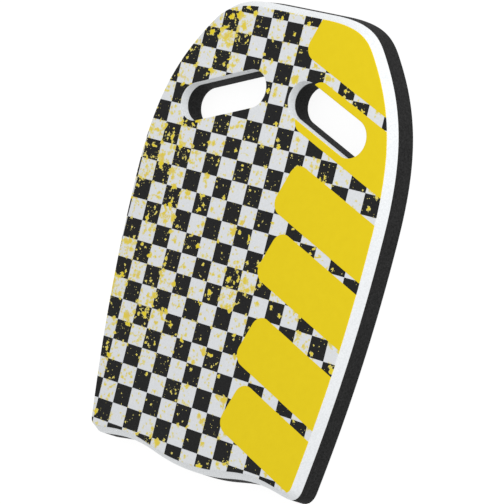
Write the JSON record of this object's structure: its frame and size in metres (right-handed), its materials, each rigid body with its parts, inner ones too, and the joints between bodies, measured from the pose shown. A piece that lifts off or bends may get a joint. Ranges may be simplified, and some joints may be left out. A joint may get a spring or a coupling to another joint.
{
  "type": "kickboard float",
  "caption": "Foam swimming kickboard with a rounded nose, waved tail, bevelled printed deck and slanted grip slots for the hands.",
  "frame": {"origin": "centre of the outer box at the flat back face", "axes": "+Z out of the printed deck face, +Y towards the rounded nose, +X to the board's right seen from above with the nose away"},
  "size_m": [0.292, 0.4252, 0.03],
  "materials": {
    "core_foam": "matte closed-cell foam, fine skin grain, cut sides",
    "bond_film": "satin adhesive film, seen only as a cut edge",
    "deck_foam": "matte closed-cell foam, fine cut grain on bevel and slot walls",
    "print_film": "satin white print film with a soft yellow speckle",
    "check_ink": "satin black ink with a crisp yellow speckle",
    "graphic_ink": "satin yellow ink over a fine foam grain"
  },
  "bodies": {
    "root": {"core_foam": "core_foam", "bond_film": "bond_film", "deck_foam": "deck_foam", "print_film": "print_film", "check_ink": "check_ink", "graphic_ink": "graphic_ink"}
  },
  "joints": []
}
